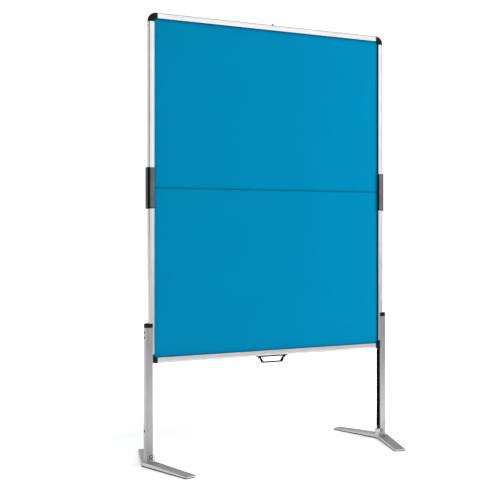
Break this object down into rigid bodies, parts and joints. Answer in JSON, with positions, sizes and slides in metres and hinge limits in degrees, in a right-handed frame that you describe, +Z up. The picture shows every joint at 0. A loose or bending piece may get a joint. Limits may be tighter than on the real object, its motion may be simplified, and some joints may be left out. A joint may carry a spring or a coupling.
{
  "type": "folding_pinboard",
  "caption": "Free-standing folding pinboard: two felt halves in a silver frame, legs with V feet, carrying handle.",
  "frame": {"origin": "on the floor, midway between the two feet and midway through the frame's depth", "axes": "+Z up; X along the board's width; -Y is the front, towards a viewer; the upper half folds back over +Y"},
  "size_m": [1.256, 0.5554, 1.9385],
  "materials": {
    "blue_felt": "matte needled felt, blue",
    "fibre_core": "soft fibre board, mid brown",
    "black_plastic": "moulded black plastic, fine grain",
    "dark_filler": "extruded charcoal plastic",
    "grey_cover": "moulded grey plastic, satin",
    "dark_handle": "moulded dark grey plastic",
    "rail_aluminium": "satin silver anodised extrusion",
    "leg_aluminium": "satin silver anodised extrusion",
    "foot_aluminium": "ribbed satin silver extrusion",
    "hinge_steel": "zinc-plated steel",
    "bracket_steel": "zinc-plated steel, inside the rails",
    "steel_screws": "blackened steel",
    "foot_rubber": "black rubber"
  },
  "bodies": {
    "lower_board": {"bottom_rail": "rail_aluminium", "lower_side_rail_left": "rail_aluminium", "lower_side_rail_right": "rail_aluminium", "lower_panel_core": "fibre_core", "lower_felt_front": "blue_felt", "lower_felt_back": "blue_felt", "lower_seam_strip": "black_plastic", "corner_cap_lower_left": "black_plastic", "corner_cap_lower_right": "black_plastic", "corner_bracket_lower_left": "bracket_steel", "corner_bracket_lower_right": "bracket_steel", "lower_corner_screws": "steel_screws", "hinge_leaf_lower_left": "hinge_steel", "hinge_leaf_lower_right": "hinge_steel", "lower_leaf_screws": "steel_screws", "hinge_pin_left": "hinge_steel", "hinge_pin_right": "hinge_steel", "hinge_cover_left": "grey_cover", "hinge_cover_right": "grey_cover", "hinge_cover_screws": "steel_screws", "handle_base": "black_plastic", "handle_pins": "hinge_steel", "handle_screws": "steel_screws"},
    "upper_board": {"top_rail": "rail_aluminium", "upper_side_rail_left": "rail_aluminium", "upper_side_rail_right": "rail_aluminium", "upper_panel_core": "fibre_core", "upper_felt_front": "blue_felt", "upper_felt_back": "blue_felt", "upper_seam_strip": "black_plastic", "corner_cap_upper_left": "black_plastic", "corner_cap_upper_right": "black_plastic", "corner_bracket_upper_left": "bracket_steel", "corner_bracket_upper_right": "bracket_steel", "upper_corner_screws": "steel_screws", "hinge_leaf_upper_left": "hinge_steel", "hinge_leaf_upper_right": "hinge_steel", "upper_leaf_screws": "steel_screws", "top_stud": "black_plastic"},
    "leg_left": {"leg_channel_left": "leg_aluminium", "leg_cap_left": "black_plastic", "leg_filler_left": "dark_filler", "leg_screws_left": "steel_screws", "foot_pivot_left": "hinge_steel"},
    "leg_right": {"leg_channel_right": "leg_aluminium", "leg_cap_right": "black_plastic", "leg_filler_right": "dark_filler", "leg_screws_right": "steel_screws", "foot_pivot_right": "hinge_steel"},
    "foot_left": {"foot_hub_left": "foot_aluminium", "foot_front_arm_left": "foot_aluminium", "foot_rear_arm_left": "foot_aluminium", "foot_pads_left": "foot_rubber", "foot_screws_left": "steel_screws"},
    "foot_right": {"foot_hub_right": "foot_aluminium", "foot_front_arm_right": "foot_aluminium", "foot_rear_arm_right": "foot_aluminium", "foot_pads_right": "foot_rubber", "foot_screws_right": "steel_screws"},
    "handle": {"handle_bail": "dark_handle"}
  },
  "joints": [
    {"name": "board_fold", "type": "hinge", "parent": "lower_board", "child": "upper_board", "pos_m": [0, 0.017, 1.185], "axis": [-1, 0, 0], "range_deg": [0, 180]},
    {"name": "leg_slide_left", "type": "slide", "parent": "lower_board", "child": "leg_left", "axis": [0, 0, 1], "range_m": [-0.165, 0]},
    {"name": "leg_slide_right", "type": "slide", "parent": "lower_board", "child": "leg_right", "axis": [0, 0, 1], "range_m": [-0.165, 0]},
    {"name": "foot_fold_left", "type": "hinge", "parent": "leg_left", "child": "foot_left", "pos_m": [-0.592, 0, 0.04], "axis": [0, -1, 0], "range_deg": [0, 90]},
    {"name": "foot_fold_right", "type": "hinge", "parent": "leg_right", "child": "foot_right", "pos_m": [0.592, 0, 0.04], "axis": [0, 1, 0], "range_deg": [0, 90]},
    {"name": "handle_swing", "type": "hinge", "parent": "lower_board", "child": "handle", "pos_m": [0, 0, 0.4265], "axis": [1, 0, 0], "range_deg": [-78, 78]}
  ]
}
